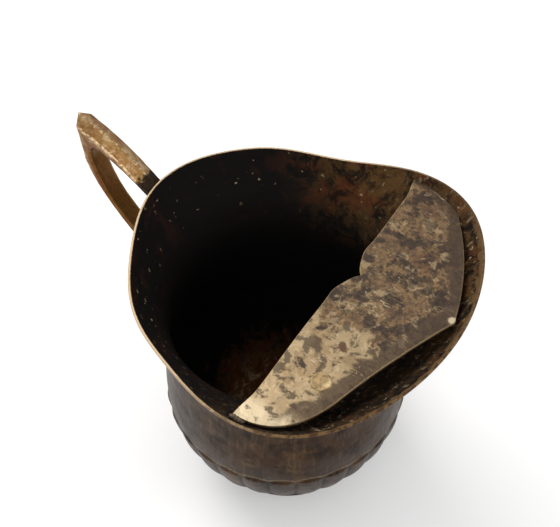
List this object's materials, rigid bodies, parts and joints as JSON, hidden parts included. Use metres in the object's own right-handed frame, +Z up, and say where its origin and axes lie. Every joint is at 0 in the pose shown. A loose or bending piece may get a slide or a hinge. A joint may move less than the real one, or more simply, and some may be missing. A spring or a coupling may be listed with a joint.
{
  "type": "loop-handled brass coffee pot",
  "caption": "Small raised brass pouring pot with a gadrooned belly, flared lip, ridge-backed loop handle and a notched guard plate across the lip.",
  "frame": {"origin": "centre of the foot ring's underside, on the axis of the bowl", "axes": "+Z up along the axis of the bowl, +X towards the pouring lip and the guard plate, the handle on -X"},
  "size_m": [0.1189, 0.0928, 0.1149],
  "materials": {
    "shell": "dark brown patina over raised sheet brass",
    "foot": "dark patina over turned brass",
    "handle": "worn golden-brown cast brass",
    "guard": "mottled beige and grey-brown tarnish over sheet brass",
    "rivet": "worn yellowish brass",
    "solder": "dull grey-brown tarnished solder"
  },
  "bodies": {
    "pot": {"shell": "shell", "foot_ring": "foot", "foot_solder": "solder", "handle": "handle", "handle_top_solder": "solder", "handle_low_solder": "solder", "guard_plate": "guard", "guard_solder_near": "solder", "guard_solder_far": "solder", "guard_rivet": "rivet", "guard_bracket": "guard"}
  },
  "joints": []
}
